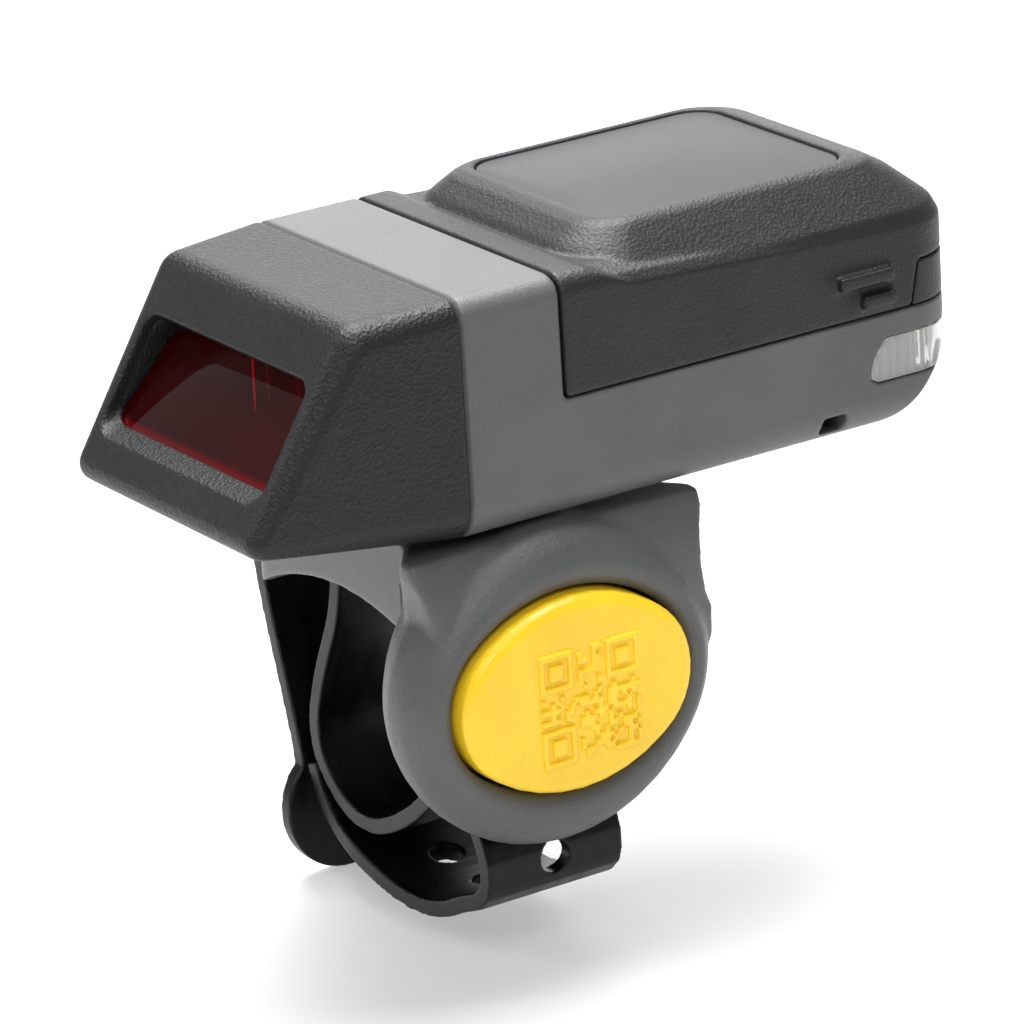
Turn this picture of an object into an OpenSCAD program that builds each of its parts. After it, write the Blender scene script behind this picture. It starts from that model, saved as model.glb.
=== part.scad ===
// Ring barcode scanner, worn on the index finger and fired with the thumb.
// The finger runs along Y through the origin, the scan window faces -Y, the trigger faces +X.

/* [Finger loop] */
// Inner diameter of the finger loop
finger_d = 20; // [18:0.5:22]
// Thickness of the rubber strap
strap_t = 1.4; // [1:0.1:1.5]
// Width of the strap along the finger
strap_w = 12.6; // [10:0.2:13]
// Width of the strap's outer band at the top
band_w = 15.6; // [13.4:0.2:15.8]
// Width of the paddle at the strap's end
paddle_w = 16.2; // [14:0.2:18]
// Diameter of the holes in the tail
strap_hole_d = 2.7; // [2:0.1:3]
// Diameter of the bar that holds the strap on the thumb side
bar_d = 2.2; // [1.8:0.1:2.4]
// Length of that bar
bar_l = 15; // [14.8:0.1:15.2]

/* [Saddle] */
// Thickness of the saddle above the finger
saddle_t = 6.8; // [6.6:0.1:8]
// Half length of the saddle along the finger
saddle_hl = 9.3; // [9:0.1:11]
// Reach of the saddle to the side away from the thumb
saddle_reach = 14.2; // [13.6:0.1:14.6]
// Radius of the hollow that rests on the finger
arch_r = 28; // [24:1:40]
// Diameter of the swivel's shaft
spindle_d = 6; // [5.6:0.1:6.4]
// Diameter of the swivel's head
spindle_head_d = 10.4; // [9.6:0.1:10.8]

/* [Trigger] */
// Width of the trigger housing along the finger
trig_w = 28.6; // [28.2:0.2:32]
// Height of the round lower part of the trigger housing
trig_h = 26.6; // [25.8:0.2:28]
// Depth of the trigger housing from its back to its rim
trig_d = 8.8; // [8.4:0.1:9.4]
// Height of the button's middle above the finger axis
trig_z = 5.3; // [5:0.1:5.6]
// Width of the oval button
button_w = 21.4; // [20:0.2:22]
// Height of the oval button
button_h = 16; // [15:0.2:16.6]
// How far the button stands out of its rim
button_out = 1.1; // [1:0.1:1.6]
// Travel of the button
button_travel = 0.9; // [0.6:0.1:0.9]
// Gap round the button
button_gap = 0.25; // [0.15:0.05:0.3]

/* [Scanner body] */
// Width of the body
body_w = 30; // [29:0.5:34]
// Height of the body at the band
body_h = 19.6; // [19.2:0.2:22]
// Length of the nose in front of the band
nose_l = 18.6; // [17.6:0.2:22]
// Length of the band over the top
band_l = 9.1; // [8.8:0.1:11]
// Length of the battery pack
pack_l = 38.4; // [37:0.2:44]
// Wall of the housings
wall = 1.6; // [1.3:0.1:1.8]
// Radius of the top corners of the section
top_r = 1.8; // [1.2:0.1:2.2]
// Radius of the bottom corners of the section
low_r = 3; // [2:0.1:3.4]
// Radius of the rear bottom edge seen from the side
rear_low_r = 4.6; // [3.4:0.2:5]
// Radius of the corners' bottom edge, seen along the diagonal
corner_low_r = 6.4; // [5:0.2:7]
// Radius of the rear corners seen from above
rear_r = 5; // [3.6:0.1:6]
// Gap between saddle and body
swivel_gap = 0.8; // [0.7:0.1:1.2]
// Distance of the body's middle from the finger axis, towards the thumb
body_x = 2.2; // [2:0.1:2.6]
// Distance from the band's front seam back to the swivel
swivel_y = 7.3; // [7:0.1:8.4]

/* [Nose and window] */
// Height of the nose's front lip above the body's bottom
lip_z = 3.9; // [3.6:0.1:4.6]
// Setback of the nose's brow from its lip
nose_lean = 9.2; // [8.4:0.2:10]
// Width of the window opening
win_w = 23.8; // [22:0.2:24.2]
// Height of the window opening along the face
win_h = 10.4; // [9:0.1:10.6]
// Extra lean of the pane behind the face, in degrees
pane_tilt = 12; // [8:1:14]
// Thickness of the pane
pane_t = 1.2; // [0.8:0.1:1.4]

/* [Battery pack] */
// Height of the pack's lower edge above the body's bottom
pack_z = 9.7; // [9.6:0.1:10.2]
// Height of the plateau above the band
plateau_h = 1.8; // [1.6:0.1:2.4]
// Half width of the plateau
plateau_hw = 10.7; // [10.4:0.1:11.4]
// Lean of the shoulder towards the rear, in degrees
shoulder_lean = 2.9; // [2:0.1:3.4]
// Width of the label inlay
label_w = 20.4; // [16:0.2:20.6]
// Length of the label inlay
label_l = 23.4; // [18:0.2:24]
/* [Hidden] */
$fn = 48;

eps = 0.01;
fit = 0.05;
seam = 0.1;
cut = 1;
far = 90;

// Heights of the ring mount above the finger axis
finger_r = finger_d / 2;
crown_z = finger_r + 1;
saddle_z = crown_z + saddle_t;
body_z = saddle_z + swivel_gap;

// Body frame: X from the middle plane, Y from the band's front seam, Z from the bottom
hw = body_w / 2;
rear_y = band_l + pack_l;
inner_hw = hw - wall;

module in_body() {
    translate([body_x, -swivel_y, body_z]) children();
}

module on_swivel(z) {
    translate([body_x, 0, z]) children();
}

// Outlines and simple solids

module corners2(w, h, r) {
    translate([-w / 2 + r, 0]) square([w - 2 * r, h]);
    translate([-w / 2, r]) square([w, h - 2 * r]);
    for (x = [-1, 1], y = [r, h - r]) translate([x * (w / 2 - r), y]) circle(r);
}

// Oval of four arcs in the plane, half width a, half height b, end radius e
module oval2(a, b, e) {
    big = (pow(a - e, 2) + b * b - e * e) / (2 * (b - e));
    joint = (a - e) * big / (big - e);
    for (s = [-1, 1]) translate([s * (a - e), 0]) circle(e);
    intersection() {
        translate([0, big - b]) circle(big);
        translate([0, b - big]) circle(big);
        square([2 * joint, 2 * b + 1], center = true);
    }
}

// An outline given in Y and Z, extruded along X from x0 to x1
module along_x(x0, x1) {
    translate([x0, 0, 0]) rotate([90, 0, 90]) linear_extrude(x1 - x0) children();
}

// An outline given in X and Z, extruded along Y from y0 to y1
module along_y(y0, y1) {
    translate([0, y1, 0]) rotate([90, 0, 0]) linear_extrude(y1 - y0) children();
}

module block(x0, x1, y0, y1, z0, z1) {
    translate([x0, y0, z0]) cube([x1 - x0, y1 - y0, z1 - z0]);
}

module rod(r, z0, z1) {
    translate([0, 0, z0]) cylinder(r = r, h = z1 - z0);
}

module tube(r_in, r_out, z0, z1) {
    difference() {
        rod(r_out, z0, z1);
        rod(r_in, z0 - cut, z1 + cut);
    }
}

// Section of the body, in X and Z, inset by d

module section2(d = 0, h = body_h) {
    r1 = max(top_r - d, 0.3);
    r2 = max(low_r - d, 0.3);
    w = hw - d;
    translate([-w, d + r2]) square([2 * w, h - 2 * d - r1 - r2]);
    translate([-w + r1, h - d - r1 - eps]) square([2 * (w - r1), r1 + eps]);
    translate([-w + r2, d]) square([2 * (w - r2), r2 + eps]);
    for (s = [-1, 1]) {
        translate([s * (w - r1), h - d - r1]) circle(r1);
        translate([s * (w - r2), d + r2]) circle(r2);
    }
}

module section(y0, y1, d = 0, h = body_h) {
    along_y(y0, y1) section2(d, h);
}

// Plan of the body from y0 to the rounded rear, inset by d
module plan(y0, z0, z1, d = 0) {
    r = max(rear_r - d, 0.3);
    end_y = rear_y - d;
    w = hw - d;
    translate([0, 0, z0]) linear_extrude(z1 - z0) {
        translate([-w, y0]) square([2 * w, end_y - r - y0]);
        translate([-w + r, y0]) square([2 * (w - r), end_y - y0]);
        for (s = [-1, 1]) translate([s * (w - r), end_y - r]) circle(r);
    }
}

// Space in front of a wall at y1 whose bottom edge is round, above z0
module low_round(y1, z0, r) {
    along_x(-far, far) {
        translate([-far, z0 + r]) square([far + y1, body_h]);
        translate([-far, z0]) square([far + y1 - r, body_h]);
        translate([y1 - r, z0 + r]) circle(r);
    }
}

// Lower tub below z1, with round bottom edges and corners, inset by d
module tub_form(y0, z1, d = 0) {
    r = max(rear_low_r - d, 0.3);
    end_y = rear_y - d;
    intersection() {
        section(y0, rear_y, d);
        plan(y0, 0, z1, d);
        low_round(end_y, d, r);
        translate([rear_r - hw, rear_y - rear_r, 0]) rotate([0, 0, 45])
            low_round(rear_r - d, d, corner_low_r - d);
        translate([hw - rear_r, rear_y - rear_r, 0]) rotate([0, 0, -45])
            low_round(rear_r - d, d, corner_low_r - d);
    }
}

// Nose: a hull from the seam to two round edges, the lip and the brow

lip_r = 1.5;
brow_r = 2.3;
lip_y = -nose_l + lip_r;
brow_y = lip_y + nose_lean;
brow_z = body_h - 2.6;
lip_hw = hw - 1.3;
brow_hw = hw - 0.5;
nose_bottom_z = 0.3;
face_span = sqrt(pow(brow_y - lip_y, 2) + pow(brow_z - lip_z, 2));
face_angle = atan2(brow_y - lip_y, brow_z - lip_z) - asin((brow_r - lip_r) / face_span);

// One pair of round corners of the nose, moved inwards where the inset passes their radius
module nose_edge(x, y, z, r, d, up) {
    r_in = max(r - d, 0.4);
    m = max(0, d - r + r_in);
    for (s = [-1, 1]) translate([s * (x - r - m), y + m, z + up * m]) sphere(r_in, $fn = 32);
}

module nose_form(d = 0) {
    hull() {
        intersection() {
            section(-0.3 - seam, -seam, d);
            block(-hw, hw, -cut, cut, nose_bottom_z + d, body_h);
        }
        nose_edge(lip_hw, lip_y, lip_z, lip_r, d, 1);
        nose_edge(brow_hw, brow_y, brow_z, brow_r, d, -1);
    }
}

// Frame of the face: the middle of the opening's lower edge, Z outwards, Y up the face
win_sill = 2;
sill_y = lip_y - lip_r * cos(face_angle) + win_sill * sin(face_angle);
sill_z = lip_z + lip_r * sin(face_angle) + win_sill * cos(face_angle);
module on_face() {
    translate([0, sill_y, sill_z]) rotate([90 - face_angle, 0, 0]) children();
}

// Frame of the pane: sunk below the face at the sill and leaning back from there
pane_sink = 1.1;
module on_pane() {
    on_face() translate([0, 0, -pane_sink]) rotate([-pane_tilt, 0, 0]) children();
}

pane_lap = 0.5;
pane_low = 0.9;
sill_rise = 1.5;
sill_depth = 1.2;
pane_w = win_w + 2 * pane_lap;
pane_h = win_h + 2 * pane_low;
lip_ring_l = 1.4;
lip_ring_t = 1;

module nose_bezel() {
    color("#2b2c2e") in_body() difference() {
        union() {
            difference() {
                nose_form();
                intersection() {
                    nose_form(wall);
                    on_pane() translate([-body_w, -20, -40]) cube([2 * body_w, 60, 40]);
                }
                block(-inner_hw, inner_hw, -1.5, cut, wall + nose_bottom_z, body_h - wall);
            }
            // Lip that reaches inside the band
            difference() {
                union() {
                    section(-1.4, -seam, wall - 0.5);
                    section(-seam - eps, lip_ring_l, wall + fit);
                }
                section(-2, 2, wall + lip_ring_t);
            }
        }
        on_face() {
            hull() {
                linear_extrude(3) corners2(win_w, win_h, 1.6);
                translate([0, sill_rise, -sill_depth]) linear_extrude(0.2)
                    corners2(win_w, win_h - sill_rise, 1.4);
            }
            translate([0, sill_rise + 0.1, -8]) linear_extrude(8)
                corners2(win_w - 0.2, win_h - sill_rise - 0.2, 1.4);
        }
        on_pane() translate([0, -pane_low - fit, -pane_t - 2 * fit]) linear_extrude(pane_t + 2 * fit)
            corners2(pane_w + 2 * fit, pane_h + 2 * fit, 1);
    }
}

module scan_window() {
    color([0.45, 0.03, 0.05, 0.9]) in_body() on_pane()
        translate([0, -pane_low, -pane_t - fit]) linear_extrude(pane_t) corners2(pane_w, pane_h, 1);
}

gasket_t = 0.6;
gasket_w = 1.1;
module window_gasket() {
    color("#151515") in_body() on_pane() translate([0, -pane_low, -pane_t - 2 * fit - gasket_t])
        linear_extrude(gasket_t) difference() {
            translate([0, 2 * gasket_w]) corners2(pane_w - 1, pane_h - 2 * gasket_w, 1);
            translate([0, 3 * gasket_w]) corners2(pane_w - 1 - 2 * gasket_w, pane_h - 4 * gasket_w, 0.6);
        }
}

// Electronics in the nose and band

board_z = 5;
board_t = 1;
board_hw = 9;
board_y0 = -5;
board_y1 = rear_y - wall - 2.9;
board_top = board_z + board_t;
engine_hw = 10.4;
engine_z0 = board_top + fit;
engine_z1 = 16.4;
engine_y0 = -4.2;
engine_y1 = band_l - wall - 2.1;
lens_z = 11.4;
lens_r = 3.1;
led_x = 7.1;
led_r = 1.7;

module scan_engine() {
    color("#1d2226") in_body() difference() {
        block(-engine_hw, engine_hw, engine_y0, engine_y1, engine_z0, engine_z1);
        block(-engine_hw + 1, engine_hw - 1, engine_y0 + 3, engine_y1 - 1, engine_z0 + 1, engine_z1 - 1);
        translate([0, engine_y0, lens_z]) rotate([90, 0, 0])
            cylinder(r = lens_r + fit, h = 8, center = true);
        for (s = [-1, 1]) translate([s * led_x, engine_y0, lens_z]) rotate([90, 0, 0])
            cylinder(r = led_r + fit, h = 8, center = true);
    }
}

module imaging_lens() {
    color("#0c0d12") in_body() translate([0, engine_y0 + 3, lens_z]) rotate([90, 0, 0]) difference() {
        cylinder(r = lens_r, h = 4.6);
        translate([0, 0, 3.8]) cylinder(r = lens_r - 0.9, h = 2);
    }
}

module aiming_leds() {
    color("#d8d2c0") in_body() for (s = [-1, 1]) translate([s * led_x, engine_y0 + 3, lens_z])
        rotate([90, 0, 0]) {
            cylinder(r = led_r, h = 3.2);
            translate([0, 0, 3.2]) sphere(led_r);
        }
}

module engine_board() {
    color("#1d5b3a") in_body() block(-engine_hw, engine_hw, engine_y1 + fit, engine_y1 + fit + board_t,
        engine_z0, engine_z1);
}

// Main board, its parts and the contacts to the battery

chip_places = [[-4, 20, 7, 7], [4.5, 24, 5, 6], [-3.5, 33, 8, 5]];
chip_h = 1.1;
buzzer_r = 3.6;
contact_y = band_l + 3.9;
contact_hw = 5;
contact_l = 3;
contact_pitch = 2.4;
floor_t = 1.5;
floor_z = pack_z - floor_t - 0.1;

module main_board() {
    color("#1d5b3a") in_body() block(-board_hw, board_hw, board_y0, board_y1, board_z, board_top);
}

module board_chips() {
    color("#17181a") in_body() for (c = chip_places)
        block(c[0] - c[2] / 2, c[0] + c[2] / 2, c[1], c[1] + c[3], board_top, board_top + chip_h);
}

module buzzer() {
    color("#202020") in_body() translate([4.6, 35.6, 0]) tube(0.8, buzzer_r, board_top, board_top + 1.9);
}

led_places = [-5, 0, 5];
module status_leds() {
    color("#f2efe2") in_body() for (x = led_places)
        block(x - 0.8, x + 0.8, board_y1 - 1.6, board_y1 + 0.4, board_top, board_top + 0.9);
}

module contact_block() {
    color("#252525") in_body()
        block(-contact_hw, contact_hw, contact_y, contact_y + contact_l, board_top, floor_z + floor_t);
}

module at_contacts() {
    for (i = [-1.5:1:1.5]) translate([i * contact_pitch, contact_y + contact_l / 2, 0]) children();
}

pad_z = pack_z + 0.2;
module contact_pins() {
    color("#d9a441") in_body() at_contacts() rod(0.45, floor_z + floor_t, pad_z - fit);
}

// Lower tub and band, one moulding

bulkhead_t = 1.5;
ledge_z = floor_z - fit;
boss_r = 1.9;
screw_r = 0.8;
screw_x = hw - 3.9;
screw_ys = [band_l + 2.9, rear_y - 6.6];
hook_hw = 8;
hook_z = pack_z + 2;
hook_t = 1.2;
pipe_t = 1;
pipe_z0 = 4.2;
pipe_z1 = 7.7;
slot_y0 = 33.1;
slot_y1 = 35.5;
line_w = 0.25;
line_d = 0.35;
slot_z0 = 0.9;
slot_z1 = 2.3;
slot_deep = 3.2;

// Blind lanyard slot in the bottom edge
module slot_form() {
    block(hw - slot_deep, hw + cut, slot_y0, slot_y1, slot_z0, slot_z1);
}

// Side outline of the light pipe: slanted ends on both flanks, open to the rear
module pipe2(c) {
    polygon([[rear_y - 8.9 - c, pipe_z0 - c], [rear_y - 9.7 - c, pipe_z0 + 0.4],
        [rear_y - 9.6 - c, pipe_z0 + 1.3], [rear_y - 8.8 - c, pipe_z1 - 0.7], [rear_y - 8 - c, pipe_z1 + c],
        [rear_y + 2, pipe_z1 + c], [rear_y + 2, pipe_z0 - c]]);
}

module at_floor_screws() {
    for (x = [-1, 1], y = screw_ys) translate([x * screw_x, y, 0]) children();
}

module at_pins() {
    for (p = [[-4.9, 1.2], [5.6, 1.9]]) translate([p[0], swivel_y + p[1], 0]) children();
}

pin_r = 0.5;
bearing_r = 3.9;
spindle_r = spindle_d / 2;
bore_r = spindle_r + fit;

// Fine groove round the body between y0 and y1, above z
module shadow_line(y0, y1, z) {
    difference() {
        block(-hw - cut, hw + cut, y0, y1, z == 0 ? -cut : z, body_h + cut);
        section(y0 - cut, y1 + cut, line_d);
    }
}

module main_housing() {
    color("#6d7071") in_body() {
        difference() {
            union() {
                section(0, band_l);
                tub_form(0, pack_z);
            }
            section(-cut, band_l - bulkhead_t, wall);
            difference() {
                tub_form(-cut, pack_z + cut, wall);
                block(-hw, hw, band_l - bulkhead_t, band_l, pack_z, body_h);
            }
            // Groove of the light pipe, with the holes that light it
            difference() {
                along_x(-hw - cut, hw + cut) pipe2(fit);
                tub_form(0, pack_z + cut, pipe_t + fit);
            }
            for (x = led_places) translate([x, rear_y, board_top + 0.45]) rotate([90, 0, 0])
                cylinder(r = 0.6, h = 6, center = true);
            // Shadow lines beside the nose and the pack
            shadow_line(-cut, line_w, 0);
            shadow_line(band_l - line_w, band_l + cut, pack_z);
            // Slot in the bulkhead for the hook of the battery pack
            block(-hook_hw - fit, hook_hw + fit, band_l - bulkhead_t - cut, band_l + cut, hook_z - fit,
                hook_z + hook_t + fit);
            for (s = [0, 1]) mirror([s, 0, 0]) slot_form();
            translate([0, swivel_y, 0]) rod(bore_r, -cut, wall + cut);
            at_pins() rod(pin_r + fit, -cut, wall + cut);
        }
        // Bearing of the swivel, inside and outside
        translate([0, swivel_y, 0]) {
            tube(bore_r, bearing_r, -swivel_gap + fit, eps);
            tube(bore_r, bearing_r, wall - eps, wall + 0.8);
        }
        // Ledges and bosses under the floor of the bay
        for (s = [0, 1]) mirror([s, 0, 0])
            block(inner_hw - 1, inner_hw + eps, band_l + 1, rear_y - 8, ledge_z - 0.9, ledge_z);
        at_floor_screws() tube(screw_r, boss_r, wall - eps, ledge_z);
        // Closed pockets of the lanyard slots
        for (s = [0, 1]) mirror([s, 0, 0]) difference() {
            block(hw - slot_deep - 0.8, hw - wall + eps, slot_y0 - 0.8, slot_y1 + 0.8,
                wall - eps, slot_z1 + 0.8);
            slot_form();
        }
        // Rails under the main board
        for (s = [-1, 1]) block(s * (board_hw - 1) - 0.6, s * (board_hw - 1) + 0.6, 14, rear_y - 8,
            wall - eps, board_z - fit);
    }
}

module light_pipe() {
    color("#dfe2dd") in_body() difference() {
        intersection() {
            tub_form(20, pack_z);
            along_x(-hw - cut, hw + cut) pipe2(0);
        }
        tub_form(0, pack_z, pipe_t);
    }
}

module bay_floor() {
    color("#232425") in_body() difference() {
        intersection() {
            block(-hw, hw, band_l + seam, rear_y - wall - 2.2, floor_z, floor_z + floor_t);
            plan(0, 0, body_h, wall + seam);
        }
        block(-contact_hw - fit, contact_hw + fit, contact_y - fit, contact_y + contact_l + fit, 0, pack_z);
        at_floor_screws() {
            rod(screw_r + fit, 0, pack_z);
            rod(1.6, floor_z + 0.6, pack_z);
        }
    }
}

module floor_screws() {
    color("#9a9ca0") in_body() at_floor_screws() difference() {
        union() {
            rod(screw_r - eps, floor_z - 4.5, floor_z + 0.7);
            rod(1.5, floor_z + 0.6 + eps, floor_z + 1.4);
        }
        rod(0.6, floor_z + 1, floor_z + 2);
    }
}

// Battery pack: case, base, cell, contacts, label and latch

case_z = pack_z + seam;
plateau_z = body_h + plateau_h;
strip_l = 2.7;
plateau_y0 = band_l + 6.4;
plateau_y1 = rear_y - 5.9;
label_y0 = plateau_y0 + 1.3;
label_t = 0.6;
label_top = plateau_z - 0.2;
latch_t = wall;
latch_z0 = pack_z + 0.15;
latch_z1 = pack_z + 3.7;
cell_hw = plateau_hw - 0.9;
base_t = 1.1;
base_z = pack_z + 0.2;
tongue_hw = 4;

// Side outline of the latch, with slanted front ends
module latch2(c) {
    polygon([[rear_y - 5.35 - c, latch_z0 - c], [rear_y - 4.6 - c, latch_z1 + c],
        [rear_y + 2, latch_z1 + c], [rear_y + 2, latch_z0 - c]]);
}

// Height of the flanks where the rear corners begin
flank_z = body_h - 1.8 - (rear_y - rear_r - band_l - strip_l) * tan(shoulder_lean);

module pack_form() {
    intersection() {
        plan(band_l + seam, case_z, plateau_z + cut);
        union() {
            // Strip behind the band, at the band's level, falling to the shoulder
            intersection() {
                section(band_l, band_l + 8);
                along_x(-hw, hw) polygon([[band_l, 0], [band_l, body_h], [band_l + strip_l, body_h],
                    [band_l + 8, body_h - 2.6], [band_l + 8, 0]]);
            }
            // Shoulder, leaning to the rear, with its outer facets
            translate([0, band_l + strip_l, body_h - 0.7]) rotate([-shoulder_lean, 0, 0])
                along_y(0, rear_y - rear_r - band_l - strip_l) polygon([[-hw, -20], [-hw, -1.1],
                    [-hw + 0.7, -0.3], [-hw + 2.4, 0.4], [hw - 2.4, 0.4], [hw - 0.7, -0.3], [hw, -1.1],
                    [hw, -20]]);
            // Plateau with round corners and sloping sides
            hull() {
                tier(plateau_z, plateau_hw, plateau_y0 + 0.4, plateau_y1 - 0.8, 3);
                tier(plateau_z - 0.35, plateau_hw + 0.6, plateau_y0 - 0.6, plateau_y1 + 0.9, 3.6);
                tier(plateau_z - 1.5, plateau_hw + 1.7, band_l + strip_l + 1.3, rear_y - 3, 4.8);
                tier(body_h - 1.1, plateau_hw + 2.6, band_l + strip_l - 0.2, rear_y - 1.8, 5.4);
                tier(flank_z + 1.3, hw - 0.4, band_l + strip_l - 0.4, rear_y - 0.5, rear_r);
                tier(flank_z, hw + 0.05, band_l + strip_l - 0.6, rear_y + 0.05, rear_r);
                tier(case_z - 1, hw + 0.05, band_l + strip_l - 0.6, rear_y + 0.05, rear_r);
            }
        }
    }
}

// One level of the plateau's form
module tier(z, half, y0, y1, r) {
    translate([0, y0, z - eps]) linear_extrude(eps) corners2(2 * half, y1 - y0, r);
}

module latch_space(c) {
    difference() {
        along_x(-hw - cut, hw + cut) latch2(c);
        plan(0, 0, body_h, latch_t + c);
    }
}

module battery_case() {
    color("#303133") in_body() {
        difference() {
            pack_form();
            block(-plateau_hw - 1.5, plateau_hw + 1.5, band_l + 1.9, rear_y - 3.3, 0, body_h - 3.6);
            block(-cell_hw - 0.2, cell_hw + 0.2, plateau_y0 + 0.5, plateau_y1 - 0.6, 0,
                label_top - label_t - 0.8);
            latch_space(fit);
            // Notch that the latch's tongue passes through
            block(-tongue_hw - fit, tongue_hw + fit, rear_y - 4, rear_y, case_z - cut, latch_z0 + 1);
            // Seat of the label
            translate([0, label_y0, label_top - label_t]) linear_extrude(3)
                corners2(label_w, label_l, 2.6);
        }
        // Hook in the bulkhead
        block(-hook_hw, hook_hw, band_l - bulkhead_t + 0.3, band_l + seam + eps, hook_z, hook_z + hook_t);
        // Grip ribs on both flanks
        for (s = [-1, 1]) {
            rib(s, rear_y - 12.7, rear_y - 7.5, pack_z + 3.9);
            rib(s, rear_y - 10.6, rear_y - 7.3, pack_z + 2);
        }
    }
}

module rib(s, y0, y1, z) {
    translate([s * (hw - 0.3), 0, z + (s > 0 ? 0.1 : 0)]) rotate([0, s * 90, 0]) linear_extrude(1.15)
        translate([0, y0]) square([1.1, y1 - y0]);
}

module label_plate() {
    color("#4a4d50") in_body() translate([0, label_y0 + fit, label_top - label_t + eps])
        linear_extrude(label_t - eps) corners2(label_w - 2 * fit, label_l - 2 * fit, 2.6);
}

module battery_base() {
    color("#242526") in_body() difference() {
        block(-plateau_hw - 1.4, plateau_hw + 1.4, band_l + 2, rear_y - 4.2, base_z, base_z + base_t);
        at_contacts() block(-0.85, 0.85, -1, 1, base_z - cut, base_z + 0.25);
    }
}

module battery_pads() {
    color("#d9a441") in_body() at_contacts() block(-0.8, 0.8, -0.95, 0.95, base_z, base_z + 0.24);
}

module battery_cell() {
    color("#b9bcc2") in_body() translate([0, plateau_y0 + 0.7, base_z + base_t + fit])
        linear_extrude(label_top - label_t - 0.8 - base_z - base_t - 0.2)
            corners2(2 * cell_hw, plateau_y1 - plateau_y0 - 1.6, 1.5);
}

module latch_tab() {
    color("#3a3b3d") in_body() {
        difference() {
            intersection() {
                plan(20, 0, body_h);
                along_x(-hw, hw) latch2(0);
            }
            plan(0, 0, body_h, latch_t);
        }
        // Tongue through the case, leg and foot under the bay's floor
        block(-tongue_hw, tongue_hw, rear_y - 3.6, rear_y - latch_t + 0.2, latch_z0, latch_z0 + 0.75);
        block(-tongue_hw, tongue_hw, rear_y - 3.6, rear_y - 2.6, floor_z - 0.9, latch_z0 + 0.1);
        block(-tongue_hw, tongue_hw, rear_y - 4.3, rear_y - 2.6, floor_z - 0.9, floor_z - 0.2);
    }
}

leaf_t = 0.25;
module latch_spring() {
    color("#c4c6c8") in_body() {
        block(-2.6, 2.6, rear_y - wall - fit - leaf_t, rear_y - wall - fit, floor_z - 0.7, floor_z + 0.8);
        for (s = [-1, 1]) block(s * 2.3 - 0.3, s * 2.3 + 0.3, rear_y - 2.6 + fit,
            rear_y - wall - fit - leaf_t + eps, floor_z - 0.4, floor_z + 0.5);
    }
}

// Swivel between saddle and body

head_r = spindle_head_d / 2;
head_z0 = saddle_z - 4.4;
head_z1 = saddle_z - 2.8;
groove_z = body_z + wall + 1.4;
groove_r = spindle_r - 0.6;
clip_t = 0.6;
cap_z = crown_z + 0.4;

module swivel_spindle() {
    color("#b4b7ba") on_swivel(0) difference() {
        union() {
            rod(head_r, head_z0, head_z1);
            rod(spindle_r, head_z1 - eps, groove_z + clip_t + 0.4);
        }
        tube(groove_r, spindle_r + cut, groove_z, groove_z + clip_t);
        rod(1.4, head_z0 - cut, groove_z + clip_t + 2);
    }
}

module spindle_cap() {
    color("#2f3032") on_swivel(0) rod(head_r, cap_z, head_z0 - fit);
}

module swivel_washer() {
    color("#c9ccce") on_swivel(0) tube(bore_r, bearing_r + 0.4, body_z + wall + 0.8 + fit, groove_z - fit);
}

module swivel_clip() {
    color("#8e9194") on_swivel(0) difference() {
        tube(groove_r + fit, spindle_r + 1.4, groove_z + eps, groove_z + clip_t - eps);
        translate([0, 0, groove_z - cut]) rotate([0, 0, -30]) cube([10, 2.4, 3]);
    }
}

disc_t = 0.6;
disc_r = 6.6;
module slip_disc() {
    color("#c7962f") on_swivel(0) tube(bearing_r + 0.2, disc_r, saddle_z - disc_t, saddle_z);
}

module swivel_pins() {
    color("#d9a441") in_body() at_pins() rod(pin_r, -swivel_gap + seam, board_z - fit);
}

// Saddle: arched block over the finger, with the strap's slot and the bar beside it

slot_mid = -5.5;
strap_slot = strap_t + 1;
slot_x0 = slot_mid - strap_slot / 2;
slot_x1 = slot_mid + strap_slot / 2;
slot_hw = strap_w / 2 + 0.5;
chan_z = saddle_z - strap_t - 1.2;
chan_hw = band_w / 2 + 0.4;
bar_round = 3;
slot_round = 1;
saddle_near_x = finger_r - fit;
saddle_low_z = crown_z - 3.6;
key_l = 2.5;
key_t = 1.6;
key_z = saddle_z - 2.8;
key_hw = 8;
saddle_r = 3;

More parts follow.
